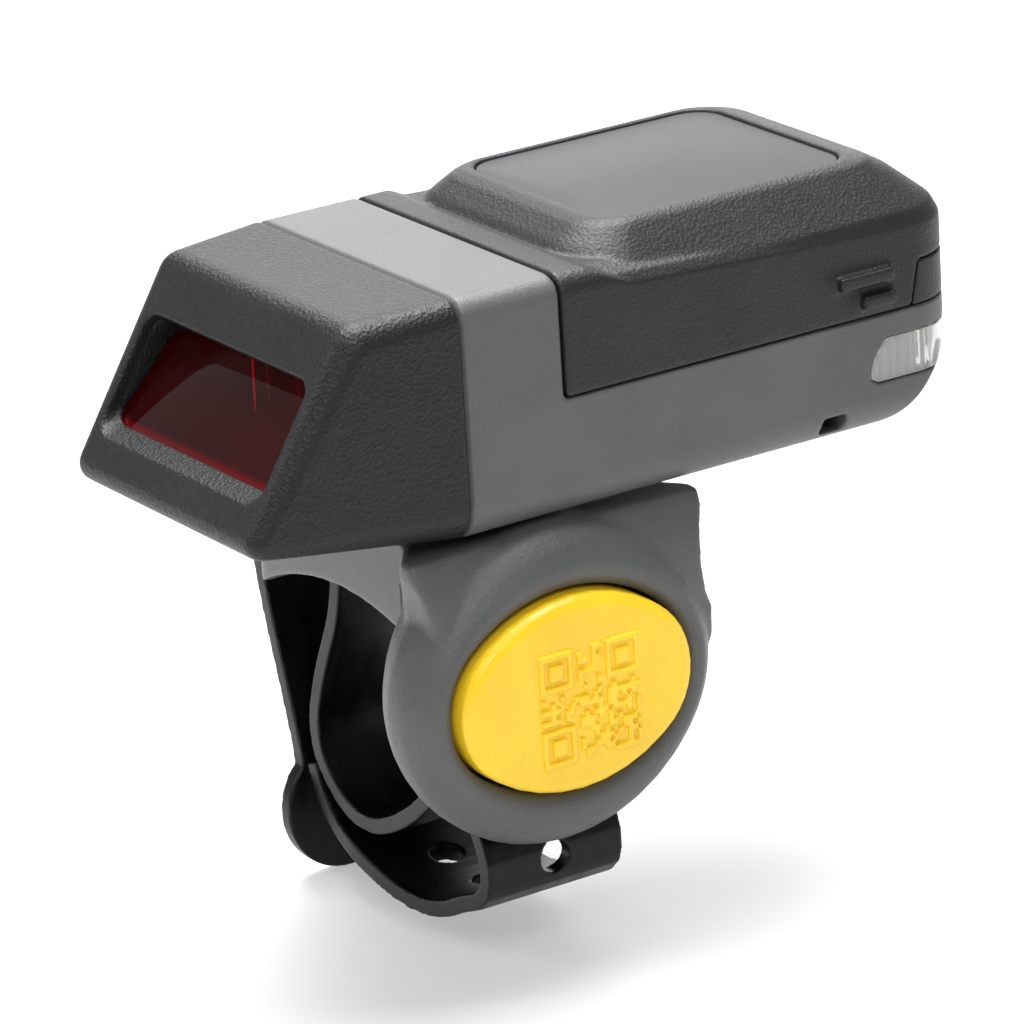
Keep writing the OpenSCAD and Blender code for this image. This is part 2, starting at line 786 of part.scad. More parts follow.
module ring_saddle() {
    color("#77797a") difference() {
        union() {
            difference() {
                translate([0, 0, saddle_low_z]) linear_extrude(saddle_z - saddle_low_z) {
                    translate([-saddle_reach, -saddle_hl + saddle_r])
                        square([saddle_reach + saddle_near_x, 2 * (saddle_hl - saddle_r)]);
                    translate([-saddle_reach + saddle_r, -saddle_hl])
                        square([saddle_reach + saddle_near_x - saddle_r, 2 * saddle_hl]);
                    for (s = [-1, 1]) translate([-saddle_reach + saddle_r, s * (saddle_hl - saddle_r)])
                        circle(saddle_r);
                }
                along_y(-saddle_hl - cut, saddle_hl + cut) translate([0, crown_z - arch_r])
                    circle(arch_r);
            }
            block(saddle_near_x - cut, saddle_near_x + key_l, -key_hw, key_hw, key_z, key_z + key_t);
        }
        block(slot_x0, slot_x1, -slot_hw, slot_hw, 0, saddle_z + cut);
        block(-saddle_reach - cut, slot_x1, -chan_hw, chan_hw, chan_z, saddle_z + cut);
        // Round edges of the bar that the strap wraps
        difference() {
            block(slot_x0 - slot_round, slot_x0 + eps, -slot_hw, slot_hw,
                chan_z - slot_round, chan_z + eps);
            along_y(-saddle_hl, saddle_hl) translate([slot_x0 - slot_round, chan_z - slot_round])
                circle(slot_round);
        }
        difference() {
            block(-saddle_reach - cut, bar_round - saddle_reach, -chan_hw, chan_hw, chan_z - bar_round,
                chan_z + cut);
            along_y(-saddle_hl, saddle_hl) translate([bar_round - saddle_reach, chan_z - bar_round])
                circle(bar_round);
        }
        on_swivel(0) {
            rod(bore_r, 0, saddle_z + cut);
            rod(head_r + seam, 0, head_z1 + fit);
            rod(disc_r + fit, saddle_z - disc_t - eps, saddle_z + cut);
        }
    }
}

// Trigger housing: bulging oval cup under the body's near side

trig_a = trig_w / 2;
trig_b = trig_h / 2;
trig_e = trig_a - 2.7;
rim_x = finger_r + trig_d;
floor_x0 = rim_x - 4.8;
floor_x1 = rim_x - 4;
well_a = button_w / 2 + button_gap;
well_b = button_h / 2 + button_gap;
ear_l = 1.2;
ear_hz = 3;
ear_x0 = floor_x1 + button_travel + 0.1;
ear_t = 1;
cavity_hw = 6.6;
cavity_z0 = trig_z - 5.2;
cavity_z1 = trig_z + 8.1;
cover_t = 1.15;
cover_hw = 9.9;
cover_z0 = trig_z - 5.8;
cover_z1 = trig_z + 8.9;
cover_screw_y = 8.4;
bar_x = finger_r + 1.2;
bar_z = trig_z - 9.5;
pocket_hw = strap_w / 2 + 0.4;
neck_hw = saddle_hl + 4.2;
neck_y = 0.9;
neck_r = 9;
neck_top = saddle_z + swivel_gap - 0.6;
slab_t = 0.1;

// Neck that flares up to the saddle, hollow on both sides
module neck2() {
    difference() {
        translate([neck_y - neck_hw, trig_z]) square([2 * neck_hw, neck_top - trig_z]);
        for (s = [-1, 1]) translate([neck_y + s * (neck_hw - 1 + neck_r), saddle_z - 5.4]) circle(neck_r);
    }
}

// Plan of the neck, which widens from the saddle to the front
module neck_plan2() {
    half = [[finger_r, neck_hw - 2.6], [finger_r + 1.6, neck_hw - 2.2], [finger_r + 3.2, neck_hw - 1.1],
        [finger_r + 4.6, neck_hw], [finger_r + 8, neck_hw]];
    polygon(concat([for (i = [0:4]) [half[i][0], neck_y - half[i][1]]],
        [for (i = [4:-1:0]) half[i] + [0, neck_y]]));
}

// Slab of the housing's oval at x, smaller by da along the finger and db in height
module trig_slab(x, da, db) {
    along_x(x, x + slab_t) translate([0, trig_z])
        oval2(trig_a - da, trig_b - db, trig_e - 1.1 * max(da - 1.4, db), $fn = 40);
}

module trigger_housing() {
    color("#6d7071") difference() {
        union() {
            hull() {
                trig_slab(finger_r, 2.3, 1.2);
                trig_slab(finger_r + 1.4, 1.3, 0.6);
                trig_slab(finger_r + 2.9, 0.5, 0.2);
                trig_slab(finger_r + 4.2, 0, 0);
                trig_slab(rim_x - 3, 0, 0);
                trig_slab(rim_x - 1.8, 0.5, 0.7);
                trig_slab(rim_x - 0.8, 1.2, 1.7);
                trig_slab(rim_x - slab_t, 2, 3);
            }
            intersection() {
                along_x(finger_r, finger_r + 7.8) neck2();
                translate([0, 0, trig_z]) linear_extrude(body_z) neck_plan2();
                along_y(-body_w, body_w) polygon([[finger_r, trig_z], [finger_r + 7.1, trig_z],
                    [finger_r + 7.7, trig_z + 6], [finger_r + 7.6, trig_z + 8], [finger_r + 7.3, saddle_z - 3],
                    [finger_r + 6.7, saddle_z - 1.6], [finger_r + 6, neck_top], [finger_r, neck_top]]);
            }
        }
        // Dished rim round the button
        hull() {
            along_x(rim_x + slab_t, rim_x + 2 * slab_t) translate([0, trig_z])
                oval2(well_a + 0.9, well_b + 1.1, 7.6, $fn = 40);
            along_x(rim_x - 0.6, rim_x - 0.5) translate([0, trig_z])
                oval2(well_a + 0.15, well_b + 0.15, 6.9, $fn = 40);
        }
        along_x(floor_x1, rim_x + cut) translate([0, trig_z]) oval2(well_a, well_b, 6.5 + button_gap);
        block(floor_x1, ear_x0 + ear_t + seam, -well_a - ear_l + 0.05, well_a + ear_l - 0.05,
            trig_z - ear_hz - 0.2, trig_z + ear_hz + 0.2);
        translate([floor_x0 - cut, 0, trig_z]) rotate([0, 90, 0]) cylinder(r = 5, h = 4);
        // Back cavity and the seat of its cover
        block(finger_r + cover_t + fit, floor_x0, -cavity_hw, cavity_hw, cavity_z0, cavity_z1);
        block(finger_r - cut, finger_r + cover_t + fit, -cover_hw - fit, cover_hw + fit, cover_z0 - fit,
            cover_z1 + fit);
        for (s = [-1, 1]) translate([finger_r, s * cover_screw_y, trig_z + 0.7]) rotate([0, 90, 0])
            cylinder(r = 0.8, h = floor_x0 - finger_r - 0.2);
        // Slot for the saddle's key
        block(finger_r - cut, finger_r + key_l + seam, -key_hw - fit, key_hw + fit, key_z - fit,
            key_z + key_t + fit);
        // Pocket and bore for the strap's bar
        block(finger_r - cut, bar_x + bar_d / 2 + strap_t + 0.25, -pocket_hw, pocket_hw, trig_z - trig_h,
            bar_z + bar_d / 2 + strap_t + 0.25);
        block(finger_r, floor_x1 + 0.3, -pocket_hw, pocket_hw, trig_z - trig_h, bar_z - 0.8);
        translate([bar_x, 0, bar_z]) rotate([90, 0, 0])
            cylinder(r = bar_d / 2 + eps, h = bar_l + 2 * fit, center = true);
    }
}

module trigger_cover() {
    color("#2c2d2f") difference() {
        block(finger_r, finger_r + cover_t, -cover_hw, cover_hw, cover_z0, cover_z1);
        for (s = [-1, 1]) translate([finger_r, s * cover_screw_y, trig_z + 0.7]) rotate([0, 90, 0]) {
            translate([0, 0, -cut]) cylinder(r = 0.85, h = 4);
            translate([0, 0, -cut]) cylinder(r = 1.55, h = cut + 0.7);
        }
    }
}

module cover_screws() {
    color("#9a9ca0") for (s = [-1, 1]) translate([finger_r, s * cover_screw_y, trig_z + 0.7])
        rotate([0, 90, 0]) difference() {
            union() {
                cylinder(r = 1.5, h = 0.7);
                cylinder(r = 0.8 - eps, h = floor_x0 - finger_r - 0.4);
            }
            translate([0, 0, -cut]) cylinder(r = 0.6, h = cut + 0.4, $fn = 6);
        }
}

tboard_x = finger_r + cover_t + 0.15;
module trigger_board() {
    color("#1d5b3a") block(tboard_x, tboard_x + 0.8, 0.3 - cavity_hw, cavity_hw - 0.3, cavity_z0 + 0.3,
        cavity_z1 - 0.3);
}

button_x = rim_x + button_out;
cap_x0 = ear_x0;
plunger_r = 2;
dome_x = tboard_x + 0.8;
dome_top_x = ear_x0 - 0.5;
module trigger_dome() {
    color("#e6e2da") translate([dome_x, 0, trig_z]) rotate([0, 90, 0]) {
        cylinder(r = 4.4, h = 0.7);
        cylinder(r1 = 3.4, r2 = 2.2, h = dome_top_x - dome_x);
    }
}

module button_slab(x, d) {
    along_x(x - slab_t, x) translate([0, trig_z])
        oval2(button_w / 2 - d, button_h / 2 - d, 6.5 - d, $fn = 40);
}

module trigger_button() {
    color("#f2bf1c") {
        along_x(cap_x0, rim_x - 0.6) translate([0, trig_z]) oval2(button_w / 2, button_h / 2, 6.5);
        hull() {
            button_slab(rim_x - 0.6, 0);
            button_slab(button_x - 0.75, 0.05);
            button_slab(button_x - 0.35, 0.35);
            button_slab(button_x - 0.12, 0.9);
            button_slab(button_x, 2.6);
        }
        block(cap_x0, cap_x0 + ear_t, -well_a - ear_l + 0.25, well_a + ear_l - 0.25, trig_z - ear_hz,
            trig_z + ear_hz);
        translate([dome_top_x + fit, 0, trig_z]) rotate([0, 90, 0]) cylinder(r = plunger_r, h = 1);
    }
}

module strap_bar() {
    color("#a5a8ab") translate([bar_x, 0, bar_z]) rotate([90, 0, 0])
        cylinder(r = bar_d / 2, h = bar_l, center = true);
}

// Strap: one rubber band, from the paddle over the saddle's bar, round the finger, over the
// trigger's bar and back under the loop to the paddle, where its tail is pegged

half_t = strap_t / 2;
wrap_r = bar_d / 2 + half_t + seam;
outer_x = -saddle_reach - half_t - 0.9;
paddle_x = -finger_r - 3.2;
strap_top = chan_z + half_t + 0.1;

outer_path = [[paddle_x + 0.1, -finger_r - 8.8], [paddle_x, -finger_r - 3], [paddle_x - 0.3, 0.7 - finger_r],
    [paddle_x - 1.1, -3], [outer_x + 0.4, 4], [outer_x, 8], [outer_x - 0.1, chan_z - 4.2],
    [outer_x + 0.5, chan_z - 0.9], [outer_x + 2.6, strap_top], [slot_x0 - slot_round, strap_top],
    [slot_x0 + 0.35, chan_z + 0.35], [slot_mid - 0.3, chan_z - 1.2], [slot_mid - 0.1, crown_z],
    [slot_mid - 0.5, crown_z - 2.6], [slot_mid - 1.3, finger_r - 4.5]];

loop_path = [[slot_mid - 1.3, finger_r - 4.5], [1.6 - finger_r, 2.2], [0.1 - finger_r, -1.3],
    [-finger_r - 0.7, -4.3], [-finger_r - 0.3, -7], [1.3 - finger_r, 0.9 - finger_r],
    [3.8 - finger_r, -finger_r - 0.7], [-3, -finger_r - 1], [0.3, 0.1 - finger_r],
    [finger_r - 6.2, -finger_r + 2.2]];

// Over the bar, from the finger's side to the outer side
bar_path = [for (a = [130:-25:-45]) [bar_x + wrap_r * cos(a), bar_z + wrap_r * sin(a)]];

tail_path = [[bar_x + 2.2, bar_z - 3.6], [bar_x + 2.8, bar_z - 5.7], [bar_x + 2.3, bar_z - 7.6],
    [finger_r, -finger_r - 3.7], [finger_r - 2, -finger_r - 4.7], [finger_r - 5, -finger_r - 5.6],
    [1, -finger_r - 5.8], [-2.9, -finger_r - 5.2], [-5.9, -finger_r - 4.3], [0.7 - finger_r, -finger_r - 2.2],
    [-finger_r - 0.7, -finger_r - 0.4], [paddle_x + strap_t + 0.25, 1.8 - finger_r]];

// Smooth curve through the points: cubic steps between each two, along the points' own directions
function unit(v) = v / norm(v);
function heading(p, i) = i == 0 ? unit(p[1] - p[0]) : i == len(p) - 1 ? unit(p[i] - p[i - 1]) :
    let (u = p[i] - p[i - 1], v = p[i + 1] - p[i]) unit(unit(u) * norm(v) + unit(v) * norm(u));
function cubic(a, b, ta, tb, t) = (2 * pow(t, 3) - 3 * t * t + 1) * a + (pow(t, 3) - 2 * t * t + t) * ta
    + (3 * t * t - 2 * pow(t, 3)) * b + (pow(t, 3) - t * t) * tb;
function spline(p, steps) = [for (i = [0:len(p) - 2], k = [0:steps - 1])
    let (l = norm(p[i + 1] - p[i]))
    cubic(p[i], p[i + 1], heading(p, i) * l, heading(p, i + 1) * l, k / steps), p[len(p) - 1]];

function side(p, i, h) = let (v = heading(p, i)) p[i] + [-v[1], v[0]] * h;

module ribbon2(p, t) {
    n = len(p);
    polygon(concat([for (i = [0:n - 1]) side(p, i, t / 2)], [for (i = [n - 1:-1:0]) side(p, i, -t / 2)]));
}

strap_line = spline(concat(outer_path, [for (i = [1:len(loop_path) - 1]) loop_path[i]], bar_path,
    tail_path), 3);

module peg_hole(p, a) {
    translate([p[0], 0, p[1]]) rotate([0, a, 0]) cylinder(d = strap_hole_d, h = 3 * strap_t, center = true);
}

neck_z = 2 - finger_r;
paddle_r = 5.4;
paddle_z = -finger_r - 3;
peg_z = -finger_r - 0.8;
split_x = paddle_x + 1.25;

module finger_strap() {
    color("#1c1c1d") {
        strap_band();
        // Peg of the paddle, through the tail
        translate([paddle_x, 0, peg_z]) rotate([0, 90, 0]) cylinder(d = strap_hole_d - 0.2, h = 3.4);
    }
}

module strap_band() {
    difference() {
        intersection() {
            along_y(-body_w, body_w) ribbon2(strap_line, strap_t);
            union() {
                block(split_x, body_w, -strap_w / 2, strap_w / 2, -body_w, body_w);
                // Outer band and paddle, seen along X
                along_x(-body_w, split_x + eps) {
                    polygon([[-band_w / 2, chan_z + 6], [-band_w / 2, chan_z - 2], [-strap_w / 2, neck_z],
                        [-strap_w / 2, -finger_r], [strap_w / 2, -finger_r], [strap_w / 2, neck_z],
                        [band_w / 2, chan_z - 2], [band_w / 2, chan_z + 6]]);
                    for (s = [-1, 1]) translate([s * (paddle_w / 2 - paddle_r), paddle_z]) circle(paddle_r);
                    translate([paddle_r - paddle_w / 2, paddle_z - paddle_r])
                        square([paddle_w - 2 * paddle_r, 2 * paddle_r]);
                }
            }
        }
        peg_hole([bar_x + 2.8, bar_z - 5.7], 90);
        peg_hole([finger_r + 0.4, -finger_r - 3.4], 40);
        peg_hole([4.4, -finger_r - 5.7], 5);
        peg_hole([-1.6, -finger_r - 5.5], -8);
    }
}

nose_bezel();
scan_window();
window_gasket();
scan_engine();
imaging_lens();
aiming_leds();
engine_board();
main_board();
board_chips();
status_leds();
buzzer();
main_housing();
light_pipe();
bay_floor();
floor_screws();
contact_block();
contact_pins();
battery_case();
label_plate();
battery_base();
battery_cell();
battery_pads();
latch_tab();
latch_spring();
swivel_spindle();
spindle_cap();
swivel_washer();
swivel_clip();
slip_disc();
swivel_pins();
ring_saddle();
trigger_housing();
trigger_cover();
cover_screws();
trigger_board();
trigger_dome();
trigger_button();
strap_bar();
finger_strap();
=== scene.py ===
import logging
import math
import random
from dataclasses import dataclass, field
from enum import Enum
from typing import ClassVar

import bmesh
import bpy
from mathutils import Matrix, Vector


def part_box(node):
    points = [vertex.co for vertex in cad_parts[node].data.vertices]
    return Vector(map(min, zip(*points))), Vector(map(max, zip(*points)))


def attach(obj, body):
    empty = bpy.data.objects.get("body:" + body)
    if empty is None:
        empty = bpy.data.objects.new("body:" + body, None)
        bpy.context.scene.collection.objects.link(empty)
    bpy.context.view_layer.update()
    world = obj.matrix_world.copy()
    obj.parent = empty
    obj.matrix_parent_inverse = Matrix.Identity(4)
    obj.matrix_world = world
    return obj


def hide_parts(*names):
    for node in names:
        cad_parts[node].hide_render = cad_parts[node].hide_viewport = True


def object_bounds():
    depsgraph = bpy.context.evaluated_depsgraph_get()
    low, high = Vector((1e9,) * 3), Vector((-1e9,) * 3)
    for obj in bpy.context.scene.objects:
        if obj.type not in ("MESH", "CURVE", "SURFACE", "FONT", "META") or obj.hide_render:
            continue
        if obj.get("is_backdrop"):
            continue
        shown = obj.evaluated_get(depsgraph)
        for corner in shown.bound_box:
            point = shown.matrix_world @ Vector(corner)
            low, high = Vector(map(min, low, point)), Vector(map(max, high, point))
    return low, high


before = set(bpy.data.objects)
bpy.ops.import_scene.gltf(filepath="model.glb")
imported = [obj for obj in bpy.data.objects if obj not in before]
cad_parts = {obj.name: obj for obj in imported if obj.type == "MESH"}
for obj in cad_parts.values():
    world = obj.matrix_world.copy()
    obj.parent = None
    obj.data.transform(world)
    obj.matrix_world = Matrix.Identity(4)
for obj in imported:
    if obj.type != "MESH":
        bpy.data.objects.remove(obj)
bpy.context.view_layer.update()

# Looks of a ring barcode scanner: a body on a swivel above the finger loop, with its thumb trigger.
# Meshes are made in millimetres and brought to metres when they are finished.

LOG = logging.getLogger("ring_scanner")
MM = 0.001
Colour = tuple[float, float, float, float]


def linear(code: str) -> Colour:
    """Turns a hexadecimal sRGB code into a linear colour.

    Args:
        code: The colour, such as "#6d7071".

    Returns:
        Red, green, blue and alpha.
    """
    parts = [int(code[i:i + 2], 16) / 255 for i in (1, 3, 5)]
    return (*[p / 12.92 if p <= 0.04045 else ((p + 0.055) / 1.055) ** 2.4 for p in parts], 1.0)


def toned(colour: Colour, factor: float, lift: float = 0.0) -> Colour:
    """Lightens or darkens a linear colour.

    Args:
        colour: The colour.
        factor: What its parts are multiplied by.
        lift: What is added to them.

    Returns:
        The new colour, with alpha 1.
    """
    return (*[min(1.0, part * factor + lift) for part in colour[:3]], 1.0)


# Finishes


class Shading:
    """The node tree of one material, with short calls that add nodes and join them."""

    def __init__(self, name: str) -> None:
        """Starts the material with its Principled shader and Object coordinates.

        Args:
            name: The material's name.
        """
        self.material = bpy.data.materials.new(name)
        self.material.use_nodes = True
        self.tree = self.material.node_tree
        self.surface = self.tree.nodes["Principled BSDF"]
        self.place = self.add("ShaderNodeTexCoord").outputs["Object"]

    def add(self, kind: str, **values: object) -> bpy.types.Node:
        """Adds a node and sets its properties.

        Args:
            kind: The node's type.
            **values: Its properties.

        Returns:
            The node.
        """
        node = self.tree.nodes.new(kind)
        for key, value in values.items():
            setattr(node, key, value)
        return node

    def join(self, source: bpy.types.NodeSocket, target: bpy.types.NodeSocket) -> None:
        """Links an output to an input."""
        self.tree.links.new(source, target)

    def put(self, node: bpy.types.Node, name: str | int, value: object) -> None:
        """Sets an input to a value, or links it where the value is a socket.

        Args:
            node: The node.
            name: Name or number of the input.
            value: A number, a vector, a colour or a socket.
        """
        if isinstance(value, bpy.types.NodeSocket):
            self.join(value, node.inputs[name])
        else:
            node.inputs[name].default_value = value

    def stretched(self, scale: tuple[float, float, float]) -> bpy.types.NodeSocket:
        """Stretches the Object coordinates.

        Args:
            scale: What each axis is multiplied by.

        Returns:
            The new coordinates.
        """
        node = self.add("ShaderNodeMapping")
        self.put(node, "Vector", self.place)
        self.put(node, "Scale", scale)
        return node.outputs[0]

    def noise(self, size: float, detail: float = 2, place: bpy.types.NodeSocket | None = None,
              distortion: float = 0) -> bpy.types.NodeSocket:
        """Adds a noise pattern.

        Args:
            size: Size of its spots in millimetres.
            detail: How many finer layers it has.
            place: Coordinates to read, or None for the object's own.
            distortion: How much the pattern is warped.

        Returns:
            Its value.
        """
        node = self.add("ShaderNodeTexNoise")
        self.put(node, "Vector", place or self.place)
        self.put(node, "Scale", 1 / (size * MM))
        self.put(node, "Detail", detail)
        self.put(node, "Distortion", distortion)
        return node.outputs[0]

    def cells(self, size: float, feature: str = "SMOOTH_F1") -> bpy.types.NodeSocket:
        """Adds a pattern of irregular cells.

        Args:
            size: Size of the cells in millimetres.
            feature: What is measured in a cell.

        Returns:
            Distance from the cell's middle.
        """
        node = self.add("ShaderNodeTexVoronoi", feature=feature)
        self.put(node, "Vector", self.place)
        self.put(node, "Scale", 1 / (size * MM))
        return node.outputs["Distance"]

    def span(self, value: bpy.types.NodeSocket, start: float, end: float, low: float,
             high: float) -> bpy.types.NodeSocket:
        """Maps a value from start..end to low..high.

        Args:
            value: The value to map.
            start: Where it starts.
            end: Where it ends.
            low: Result at the start.
            high: Result at the end.

        Returns:
            The mapped value.
        """
        node = self.add("ShaderNodeMapRange")
        for name, number in zip(range(5), (value, start, end, low, high)):
            self.put(node, name, number)
        return node.outputs[0]

    def math(self, operation: str, a: object, b: object = 0.0) -> bpy.types.NodeSocket:
        """Works out a number from two others.

        Args:
            operation: The operation's name.
            a: First value or socket.
            b: Second value or socket.

        Returns:
            The result.
        """
        node = self.add("ShaderNodeMath", operation=operation)
        self.put(node, 0, a)
        self.put(node, 1, b)
        return node.outputs[0]

    def blend(self, factor: object, a: object, b: object) -> bpy.types.NodeSocket:
        """Mixes two colours.

        Args:
            factor: Share of the second colour.
            a: First colour.
            b: Second colour.

        Returns:
            The mixed colour.
        """
        node = self.add("ShaderNodeMix", data_type="RGBA")
        self.put(node, 0, factor)
        self.put(node, 6, a)
        self.put(node, 7, b)
        return node.outputs[2]

    def bump(self, height: bpy.types.NodeSocket, depth: float, strength: float = 1.0) -> None:
        """Raises the surface's shading by a height pattern.

        Args:
            height: Pattern from 0 to 1.
            depth: Its height in millimetres.
            strength: Share of the effect.
        """
        node = self.add("ShaderNodeBump")
        self.put(node, "Height", height)
        self.put(node, "Distance", depth * MM)
        self.put(node, "Strength", strength)
        self.join(node.outputs[0], self.surface.inputs["Normal"])

    def axis(self, index: int) -> bpy.types.NodeSocket:
        """Takes one of the object's coordinates.

        Args:
            index: 0 for x, 1 for y, 2 for z.

        Returns:
            The coordinate in metres.
        """
        node = self.add("ShaderNodeSeparateXYZ")
        self.put(node, 0, self.place)
        return node.outputs[index]

    def facing(self, index: int) -> bpy.types.NodeSocket:
        """Takes one coordinate of the surface's normal.

        Args:
            index: 0 for x, 1 for y, 2 for z.

        Returns:
            The coordinate, from -1 to 1.
        """
        node = self.add("ShaderNodeSeparateXYZ")
        self.put(node, 0, self.place.node.outputs["Normal"])
        return node.outputs[index]


@dataclass(frozen=True)
class Finish:
    """A finish that one material shows."""

    name: str

    def material(self) -> bpy.types.Material:
        """Makes the material at its first use.

        Returns:
            The finish's material.
        """
        if self.name not in bpy.data.materials:
            shading = Shading(self.name)
            self.paint(shading)
        return bpy.data.materials[self.name]

    def paint(self, shading: Shading) -> None:
        """Builds the nodes of the finish."""
        raise NotImplementedError(self.name)


class Grain(Enum):
    """Textures of a mould's wall."""

    LEATHER = "leather"
    SATIN = "satin"
    SILK = "silk"


@dataclass(frozen=True)
class Moulded(Finish):
    """Injection-moulded plastic with the grain of its mould.

    Attributes:
        colour: Its colour.
        grain: Texture of the mould.
        rough: Mean roughness.
        pebble: Size of leather grain's pebbles in millimetres.
        depth: Height of the pebbles in millimetres.
        gloss: Specular level.
    """

    colour: str
    grain: Grain
    rough: float = 0.5
    pebble: float = 0.27
    depth: float = 0.08
    gloss: float = 0.5

    def paint(self, shading: Shading) -> None:
        """Colour with faint flow, grain in roughness and relief.

        Args:
            shading: The material's nodes.
        """
        base = linear(self.colour)
        s = shading
        flow = s.noise(9, detail=3, distortion=0.6)
        speck = s.noise(0.22, detail=3)
        tone = s.math("ADD", s.math("MULTIPLY", flow, 0.55), s.math("MULTIPLY", speck, 0.45))
        mix = s.blend(s.span(tone, 0.3, 0.7, 0, 1), toned(base, 0.88), toned(base, 1.13, 0.004))
        s.put(s.surface, "Base Color", mix)
        s.put(s.surface, "Specular IOR Level", self.gloss)
        if self.grain is Grain.LEATHER:
            self.leather(s)
        elif self.grain is Grain.SATIN:
            self.even(s, size=0.2, depth=0.04, strength=1.0, spread=0.05)
        else:
            self.even(s, size=0.3, depth=0.006, strength=0.5, spread=0.04)

    def leather(self, s: Shading) -> None:
        """Adds raised pebbles that are glossier on top.

        Args:
            s: The material's nodes.
        """
        cells = s.cells(self.pebble)
        fine = s.noise(self.pebble / 2, detail=2)
        height = s.math("ADD", s.math("MULTIPLY", cells, 0.75), s.math("MULTIPLY", fine, 0.5))
        s.bump(height, self.depth)
        s.put(s.surface, "Roughness", s.span(cells, 0.1, 0.8, self.rough + 0.07, self.rough - 0.07))

    def even(self, s: Shading, size: float, depth: float, strength: float, spread: float) -> None:
        """Adds an even fine grain.

        Args:
            s: The material's nodes.
            size: Size of the grain in millimetres.
            depth: Its height in millimetres.
            strength: Share of the relief.
            spread: How far the roughness varies to each side.
        """
        fine = s.noise(size, detail=3)
        s.bump(fine, depth, strength)
        s.put(s.surface, "Roughness", s.span(fine, 0.3, 0.7, self.rough - spread, self.rough + spread))


@dataclass(frozen=True)
class Rubber(Finish):
    """Satin silicone rubber with faint flow marks, painted lighter in streaks as sheen."""

    colour: str
    rough: float
    gloss: float = 0.26

    def paint(self, shading: Shading) -> None:
        """Dark base, lighter in the flow streaks as painted sheen, and a fine bump.

        Args:
            shading: The material's nodes.
        """
        s = shading
        base = linear(self.colour)
        flow = s.noise(5, detail=4, place=s.stretched((1, 2.5, 1)), distortion=0.8)
        fine = s.noise(0.16, detail=3)
        # Painted sheen: lighter colour along the flow streaks, whose roughness varies too.
        painted_sheen = s.blend(s.span(flow, 0.42, 0.72, 0, 1), base, toned(base, 1.6, 0.002))
        s.put(s.surface, "Base Color", painted_sheen)
        s.put(s.surface, "Roughness", s.span(flow, 0.3, 0.7, self.rough - 0.08, self.rough + 0.08))
        s.put(s.surface, "Specular IOR Level", self.gloss)
        s.bump(fine, 0.008, 0.6)


@dataclass(frozen=True)
class TintedPane(Finish):
    """Red pane of acrylic with a painted glow along its lower edge and a thin painted reflection line.

    Attributes:
        colour: Colour of the acrylic.
        glow: Colour of its painted glow and painted reflection line.
        foot: Height of its lower edge in millimetres.
        edge: Start and end of the painted glowing strip above the foot. These lengths are millimetres too.
        line: Lowest and highest point of the painted reflection line above the foot.
        line_x: Where the line ends at its top.
        line_lean: How far it leans for each millimetre of height.
        fade: How softly the strip starts and ends.
        line_edge: From the line's middle, where it is full and where it ends.
        line_light: Painted light of the reflection line beside the strip's.
        front: Range of the normal's y in which the line comes up.
        dim: Painted glow that the whole pane gives off.
        bright: Painted glow of the strip and the reflection line.
    """

    colour: str
    glow: str
    foot: float
    edge: tuple[float, float] = (0.6, 2.4)
    line: tuple[float, float] = (6.2, 9.4)
    line_x: float = 0.5
    line_lean: float = 1.64
    fade: tuple[float, float] = (0.2, 0.4)
    line_edge: tuple[float, float] = (0.05, 0.18)
    line_light: float = 0.7
    front: tuple[float, float] = (-0.4, -0.2)
    dim: float = 0.012
    bright: float = 0.5

    def paint(self, shading: Shading) -> None:
        """Clear red body with a painted glowing strip at its foot and the painted reflection line, in
        millimetres.

        Args:
            shading: The material's nodes.
        """
        s = shading
        haze = s.noise(0.5, detail=3)
        s.put(s.surface, "Transmission Weight", 0.92)
        s.put(s.surface, "IOR", 1.49)
        s.put(s.surface, "Specular IOR Level", 0.25)
        s.put(s.surface, "Roughness", s.span(haze, 0.4, 0.8, 0.02, 0.07))
        # Painted glow: a bright strip along the pane's foot.
        rise = s.math("SUBTRACT", s.math("DIVIDE", s.axis(2), MM), self.foot)
        low, high = self.edge
        fade_in, fade_out = self.fade
        start = s.span(rise, low, low + fade_in, 0, 1)
        strip = s.math("MULTIPLY", start, s.span(rise, high - fade_out, high, 1, 0))
        # Painted reflection: a thin leaning line, only on faces turned to the front.
        low, high = self.line
        middle = s.math("MULTIPLY_ADD", rise, -self.line_lean)
        middle.node.inputs[2].default_value = self.line_x + self.line_lean * high
        aside = s.math("ABSOLUTE", s.math("SUBTRACT", s.math("DIVIDE", s.axis(0), MM), middle))
        width = s.span(aside, *self.line_edge, self.line_light, 0)
        line = s.math("MULTIPLY", width, s.span(rise, low, low + 1, 0, 1))
        line = s.math("MULTIPLY", line, s.span(s.facing(1), *self.front, 1, 0))
        light = s.math("MAXIMUM", strip, line)
        # The painted glow and painted reflection lighten the base colour and give off light.
        s.put(s.surface, "Base Color", s.blend(light, linear(self.colour), linear(self.glow)))
        s.put(s.surface, "Emission Color", linear(self.glow))
        s.put(s.surface, "Emission Strength", s.span(light, 0, 1, self.dim, self.bright))
        s.bump(haze, 0.001, 0.2)


@dataclass(frozen=True)
class ClearPlastic(Finish):
    """Clear polycarbonate with a little haze inside."""

    colour: str
    rough: float
    transmission: float

    def paint(self, shading: Shading) -> None:
        """Transmission with fine haze and soft ripples.

        Args:
            shading: The material's nodes.
        """
        s = shading
        haze = s.noise(0.7, detail=3)
        clear = linear(self.colour)
        s.put(s.surface, "Base Color", s.blend(haze, clear, toned(clear, 0.9)))
        s.put(s.surface, "Transmission Weight", self.transmission)
        s.put(s.surface, "IOR", 1.57)
        s.put(s.surface, "Roughness", s.span(haze, 0.3, 0.7, self.rough - 0.05, self.rough + 0.08))
        s.bump(s.noise(1.4, detail=2), 0.02, 0.5)


